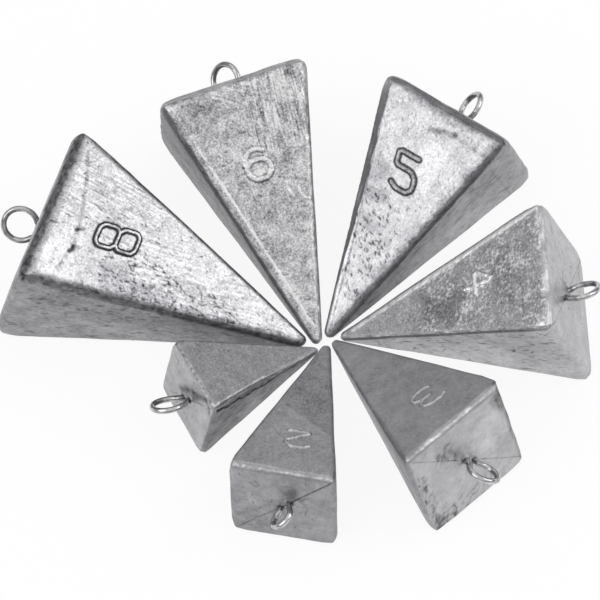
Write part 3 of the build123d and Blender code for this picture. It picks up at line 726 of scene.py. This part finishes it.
def cast_lead(sinker):
    """The casting with its skin, raised number, mould marks, wear, and painted light and shade."""
    look = sinker.look
    skin = Skin(sinker)
    cast_skin(skin)
    if sinker.number:
        raised_number(skin)
    mould_marks(skin)
    wear(skin)
    look["marks"](skin)

    piece = new_piece(f"lead_{sinker.ounces}oz", skin.points + skin.shift, skin.faces)
    worn, normals = worn_corners(piece.data, sinker)
    # Tones of the faces: partly the metal's own wear, partly painted light and shade on each face
    skin.tone += look["flank"]
    for name in ("top", "base"):
        turned = smooth(*TONE_TURN, normals @ skin.normal(name))
        skin.tone += (look[name] - look["flank"]) * turned
    placed = sinker.placed(worn + skin.out * skin.move[:, None])
    low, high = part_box(f"casting_{sinker.ounces}oz")
    placed = np.clip(placed, np.array(low), np.array(high))
    piece.data.vertices.foreach_set("co", placed.ravel())
    piece.data.update()
    give(piece, "own", skin.points, "FLOAT_VECTOR")
    give(piece, "tone", skin.tone)
    give(piece, "grime_and_shade", skin.grime_and_shade)
    give(piece, "grit", look["grit"] * (REST_GRIT + (1 - REST_GRIT) * skin.on["top"]))
    piece.data.materials.append(lead_material(f"lead_{sinker.ounces}oz", look))
    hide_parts(f"casting_{sinker.ounces}oz")
    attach(piece, f"sinker_{sinker.ounces}oz")


def worn_corners(mesh, sinker):
    """Smooths the four corners of the base. Gives the points and their normals."""
    points = read(mesh.vertices, "co")
    edges = read(mesh.edges, "vertices", 2, int)
    half, reach = sinker.side / 2, sinker.look["corner"]
    for y, z in ((-half, -half), (half, -half), (half, half), (-half, half)):
        away = np.linalg.norm(points - [sinker.height, y, z], axis=1)
        close = edges[(away[edges] < 2 * reach).any(axis=1)]
        here, ends = np.unique(close, return_inverse=True)
        start, end = ends.reshape(-1, 2).T
        count = np.bincount(start, minlength=len(here)) + np.bincount(end, minlength=len(here))
        share = CORNER_PULL * smooth(2 * reach, reach, away[here])
        local = points[here]
        for _ in range(CORNER_STEPS):
            total = np.zeros_like(local)
            np.add.at(total, start, local[end])
            np.add.at(total, end, local[start])
            local += share[:, None] * (total / count[:, None] - local)
        points[here] = local
    mesh.vertices.foreach_set("co", points.ravel())
    mesh.update()
    return points, read(mesh.vertices, "normal")


def new_piece(name, points, faces):
    """A smooth-shaded mesh object in the scene."""
    mesh = bpy.data.meshes.new(name)
    mesh.from_pydata([tuple(p) for p in points], [], faces)
    mesh.polygons.foreach_set("use_smooth", [True] * len(mesh.polygons))
    mesh.update()
    piece = bpy.data.objects.new(name, mesh)
    bpy.context.scene.collection.objects.link(piece)
    return piece


def give(piece, name, values, kind="FLOAT"):
    """Stores a value for each point of the mesh, for its material."""
    layer = piece.data.attributes.new(name, kind, "POINT")
    field = "vector" if kind == "FLOAT_VECTOR" else "value"
    layer.data.foreach_set(field, np.asarray(values, np.float32).ravel())


class Nodes:
    """A material's node tree, built one node at a time."""

    def __init__(self, name):
        self.material = bpy.data.materials.new(name)
        self.material.use_nodes = True
        self.tree = self.material.node_tree
        self.tree.nodes.clear()

    def add(self, kind, sockets=None, **settings):
        """A node whose inputs are linked to other nodes' outputs, or set to plain values."""
        made = self.tree.nodes.new("ShaderNode" + kind)
        for key, value in settings.items():
            setattr(made, key, value)
        for key, value in (sockets or {}).items():
            if isinstance(value, bpy.types.NodeSocket):
                self.tree.links.new(value, made.inputs[key])
            else:
                made.inputs[key].default_value = value
        return made

    def attribute(self, name, output="Fac"):
        return self.add("Attribute", attribute_name=name).outputs[output]

    def math(self, operation, first, second):
        return self.add("Math", {0: first, 1: second}, operation=operation).outputs[0]

    def sum(self, first, second, factor=1.0):
        """first + second * factor"""
        return self.add("Math", {0: second, 1: factor, 2: first}, operation="MULTIPLY_ADD").outputs[0]

    def span(self, value, low, high, to_low, to_high):
        """value, taken from the span low to high to the span to_low to to_high."""
        sockets = {"Value": value, "From Min": low, "From Max": high, "To Min": to_low, "To Max": to_high}
        return self.add("MapRange", sockets).outputs["Result"]

    def noise(self, vector, scale, detail=2.0, roughness=0.5, stretch=None):
        if stretch:
            vector = self.add("VectorMath", {0: vector, 1: stretch}, operation="MULTIPLY").outputs[0]
        sockets = {"Vector": vector, "Scale": scale, "Detail": detail, "Roughness": roughness}
        return self.add("TexNoise", sockets).outputs["Fac"]

    def ramp(self, value, stops):
        """A colour for value, between stops of (place, colour)."""
        made = self.add("ValToRGB", {"Fac": value})
        elements = made.color_ramp.elements
        while len(elements) < len(stops):
            elements.new(0.5)
        for element, (place, colour) in zip(elements, stops):
            element.position = place
            element.color = (*colour, 1)
        return made.outputs["Color"]

    def metal(self, colour, metallic, roughness, height, bump):
        """The finished material, with height as bumps of up to bump, in millimetres."""
        sockets = {"Strength": 1.0, "Distance": bump * MM, "Height": height}
        normal = self.add("Bump", sockets).outputs["Normal"]
        sockets = {"Base Color": colour, "Metallic": metallic, "Roughness": roughness, "Normal": normal}
        return self.finish(self.add("BsdfPrincipled", sockets).outputs["BSDF"])

    def finish(self, shader):
        self.add("OutputMaterial", {"Surface": shader})
        return self.material


def lead_material(name, look):
    """Dull metal, lighter and smoother where its skin is bright and clean. Its tone holds painted highlights
    as well as bright metal, and its dirt holds painted shade.
    """
    clouds, smears, scratches, specks = 0.24, 0.16, look["scratch"], look["speck"]
    g = Nodes(name)
    own = g.attribute("own", "Vector")
    cloud = g.noise(own, 0.30, detail=4.0, roughness=0.6)
    grain = g.math("SUBTRACT", g.noise(own, 3.0, detail=4.0, roughness=0.7), 0.5)
    grain = g.math("MULTIPLY", grain, g.attribute("grit"))
    speck = g.noise(own, 1.5, detail=2.0, roughness=0.6, stretch=(0.7, 1.5, 1.5))
    speck = g.span(speck, 0.60, 0.68, 0.0, 1.0)
    scratch = g.noise(own, 1.0, detail=3.0, roughness=0.6, stretch=(0.16, 3.2, 3.2))
    sockets = {"Vector": own, "Scale": 0.5, "Detail": 3.0, "Distortion": 1.6}
    smear = g.add("TexNoise", sockets).outputs["Fac"]
    # Lightness: the tone, with painted highlights, less the dirt and painted shade
    shade = g.sum(g.attribute("tone"), g.attribute("grime_and_shade"), -1.0)
    shade = g.sum(g.sum(g.sum(shade, cloud, clouds), grain), smear, smears)
    shade = g.sum(g.sum(shade, scratch, scratches), speck, -specks)
    # Takes off what the clouds, smears and scratches add on average
    shade = g.math("ADD", shade, -(clouds + smears + scratches) / 2)
    colour = g.ramp(shade, [(0.0, (0.046, 0.045, 0.050)), (0.35, (0.212, 0.209, 0.223)),
                            (0.65, (0.465, 0.460, 0.478)), (1.0, (0.80, 0.795, 0.80))])
    dull = g.span(shade, 0.1, 0.9, 0.58, 0.34)
    height = g.sum(g.sum(grain, scratch, 0.3 * scratches), speck, -0.2)
    return g.metal(colour, metallic=0.8, roughness=dull, height=height, bump=look["fine"])


def wire_material():
    """Bright drawn wire with faint lines along it and a few stains."""
    g = Nodes("eye_wire")
    own = g.attribute("own", "Vector")
    drawn = g.noise(own, 1.0, detail=3.0, roughness=0.6, stretch=(0.25, 6.0, 1.0))
    stain = g.noise(own, 0.5, detail=3.0, roughness=0.6)
    shade = g.sum(g.sum(stain, drawn, 0.3), g.attribute("grime_and_shade"), -1.0)
    colour = g.ramp(shade, [(0.25, (0.07, 0.07, 0.073)), (0.50, (0.30, 0.30, 0.305)),
                            (0.80, (0.66, 0.66, 0.67))])
    dull = g.span(shade, 0.3, 0.7, 0.22, 0.10)
    return g.metal(colour, metallic=1.0, roughness=dull, height=drawn, bump=0.006)


def eye_path(sinker):
    """The wire's middle line from foot to foot, in the parting plane: (across, out of the base)."""
    loop_radius = (sinker.inside + WIRE_DIAMETER) / 2
    loop_height = sinker.reach - WIRE_DIAMETER / 2 - loop_radius
    flare = acos((LEG_OFFSET + NECK_RADIUS) / (loop_radius + NECK_RADIUS))
    neck_height = loop_height - (loop_radius + NECK_RADIUS) * sin(flare)
    bend = -LEG_DEPTH + FOOT_BEND_RADIUS
    half = []

    def run(start, end):
        ahead = end[0] - start[0], end[1] - start[1]
        count = max(2, round(hypot(*ahead) / PATH_STEP))
        half.extend((start[0] + ahead[0] * i / count, start[1] + ahead[1] * i / count) for i in range(count))

    def arc(middle, radius, start, end):
        count = max(3, round(abs(end - start) * radius / PATH_STEP))
        turns = [start + (end - start) * i / count for i in range(count)]
        half.extend((middle[0] + radius * cos(turn), middle[1] + radius * sin(turn)) for turn in turns)

    foot = -LEG_OFFSET - FOOT_BEND_RADIUS
    run((foot - FOOT_LENGTH, -LEG_DEPTH), (foot, -LEG_DEPTH))
    arc((foot, bend), FOOT_BEND_RADIUS, -pi / 2, 0)
    run((-LEG_OFFSET, bend), (-LEG_OFFSET, neck_height))
    arc((-LEG_OFFSET - NECK_RADIUS, neck_height), NECK_RADIUS, 0, flare)
    arc((0, loop_height), loop_radius, pi + flare, pi / 2)
    left = np.array(half)
    top = np.array([(0, sinker.reach - WIRE_DIAMETER / 2)])
    return np.vstack([left, top, left[::-1] * [-1, 1]])


def wire_eye(sinker, material):
    """A bent wire with the small unevenness of hand work."""
    path = eye_path(sinker)
    rng = np.random.default_rng(sinker.ounces * 100 + 50)
    lift = smooth(0.5, sinker.reach, path[:, 1])
    sway, skew = rng.uniform(-EYE_SWAY, EYE_SWAY, 2)
    ahead = np.gradient(path, axis=0)
    ahead /= np.linalg.norm(ahead, axis=1, keepdims=True)
    side = np.stack([-ahead[:, 1], ahead[:, 0]], 1)
    travel = np.concatenate([[0], np.cumsum(np.linalg.norm(np.diff(path, axis=0), axis=1))])
    count, rounds = len(path), WIRE_ROUNDS
    turn = np.linspace(0, 2 * pi, rounds, endpoint=False)
    radius = WIRE_DIAMETER / 2
    flat = path[:, None, :] + radius * np.cos(turn)[None, :, None] * side[:, None, :]
    away = radius * np.sin(turn)[None, :] + (lift * (sway + skew * path[:, 0] / SKEW_SPAN))[:, None]
    points = (sinker.eye_foot + flat[..., :1] * sinker.across + flat[..., 1:] * np.array([1, 0, 0])
              + away[..., None] * sinker.parting_normal).reshape(-1, 3)
    faces = []
    for i in range(count - 1):
        for j in range(rounds):
            k = (j + 1) % rounds
            this, after = i * rounds, (i + 1) * rounds
            faces.append((this + j, this + k, after + k, after + j))
    faces.append(tuple(range(rounds - 1, -1, -1)))
    faces.append(tuple(range((count - 1) * rounds, count * rounds)))
    piece = new_piece(f"eye_{sinker.ounces}oz", sinker.placed(points), faces)
    own = np.stack([np.repeat(travel, rounds), np.tile(turn * radius, count),
                    np.full(count * rounds, sinker.ounces)], 1)
    give(piece, "own", own, "FLOAT_VECTOR")
    # Inside of the loop: painted shade with some dirt; near the lead: dirt at the joint
    inner = INNER_SHADE_AND_GRIME * smooth(0.2, 0.9, -np.cos(turn))[None, :] * lift[:, None]
    joint = JOINT_GRIME * smooth(1.4, 0.2, path[:, 1])[:, None]
    give(piece, "grime_and_shade", (inner + joint).ravel())
    piece.data.materials.append(material)
    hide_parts(f"wire_eye_{sinker.ounces}oz")
    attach(piece, f"sinker_{sinker.ounces}oz")


def floor():
    """White paper under the set, which shows as white and keeps a faint shadow."""
    g = Nodes("floor")
    light = g.add("LightPath").outputs
    seen = g.math("MAXIMUM", light["Is Camera Ray"], light["Is Glossy Ray"])
    seen = g.math("MAXIMUM", seen, light["Is Transmission Ray"])
    white = g.add("Emission", {"Color": (1, 1, 1, 1), "Strength": 1.0}).outputs[0]
    fibre = g.noise(g.add("TexCoord").outputs["Object"], scale=900.0, detail=3.0)
    shade = g.ramp(fibre, [(0.3, (0.90, 0.90, 0.90)), (0.7, (0.94, 0.94, 0.94))])
    paper = g.add("BsdfDiffuse", {"Color": shade}).outputs[0]
    share = g.math("MULTIPLY", seen, FLOOR_WHITE)
    shader = g.add("MixShader", {0: share, 1: paper, 2: white}).outputs[0]
    reach, level = 6, -0.05 * MM
    sides = (-1, -1), (1, -1), (1, 1), (-1, 1)
    table = new_piece("floor", [(x * reach, y * reach, level) for x, y in sides], [(0, 1, 2, 3)])
    table.data.materials.append(g.finish(shader))


def softbox(name, azimuth, elevation, distance, size, radiance):
    """A square lamp that faces the set. azimuth is the side it stands on, in degrees from +X."""
    lamp = bpy.data.lights.new(name, "AREA")
    lamp.shape = "SQUARE"
    lamp.size = size
    lamp.energy = radiance * pi * size ** 2
    a, e = radians(azimuth), radians(elevation)
    towards = Vector((cos(a) * cos(e), sin(a) * cos(e), sin(e)))
    box = bpy.data.objects.new(name, lamp)
    box.location = towards * distance
    box.rotation_euler = towards.to_track_quat("Z", "Y").to_euler()
    bpy.context.scene.collection.objects.link(box)


def lights():
    """A room that is dim near the horizon and bright overhead, and a softbox on either hand."""
    world = bpy.data.worlds.new("room")
    bpy.context.scene.world = world
    world.use_nodes = True
    tree = world.node_tree
    up = tree.nodes.new("ShaderNodeSeparateXYZ")
    rise = tree.nodes.new("ShaderNodeMapRange")
    rise.interpolation_type = "SMOOTHSTEP"
    for key, value in (("From Min", 0.30), ("From Max", 0.80), ("To Min", 0.42), ("To Max", 0.95)):
        rise.inputs[key].default_value = value
    tree.links.new(tree.nodes.new("ShaderNodeTexCoord").outputs["Generated"], up.inputs[0])
    tree.links.new(up.outputs["Z"], rise.inputs["Value"])
    tree.links.new(rise.outputs["Result"], tree.nodes["Background"].inputs["Color"])
    softbox("right_box", azimuth=0, elevation=36, distance=0.8, size=0.55, radiance=1.7)
    softbox("left_box", azimuth=195, elevation=43, distance=0.8, size=0.55, radiance=1.5)


def camera():
    """The photograph's view: from the front, high up, through a long lens, a little turned."""
    elevation, distance, roll = radians(64.22), 0.7987, radians(-9.591)
    aim = Vector((0.001193, 0.003594, 0))
    right = Vector((1, 0, 0))
    up = Vector((0, sin(elevation), cos(elevation)))
    back = Vector((0, -cos(elevation), sin(elevation)))
    across = cos(roll) * right + sin(roll) * up
    upright = -sin(roll) * right + cos(roll) * up
    eye = bpy.data.cameras.new("camera")
    eye.lens = 261.83
    eye.sensor_width = 36
    eye.clip_start = 0.01
    stand = bpy.data.objects.new("camera", eye)
    turned = Matrix((across, upright, back)).transposed().to_4x4()
    stand.matrix_world = Matrix.Translation(aim + back * distance) @ turned
    bpy.context.scene.collection.objects.link(stand)
    bpy.context.scene.camera = stand


bpy.context.scene.view_settings.view_transform = "Standard"
camera()
wire = wire_material()
for sinker in SINKERS:
    cast_lead(sinker)
    wire_eye(sinker, wire)
floor()
lights()
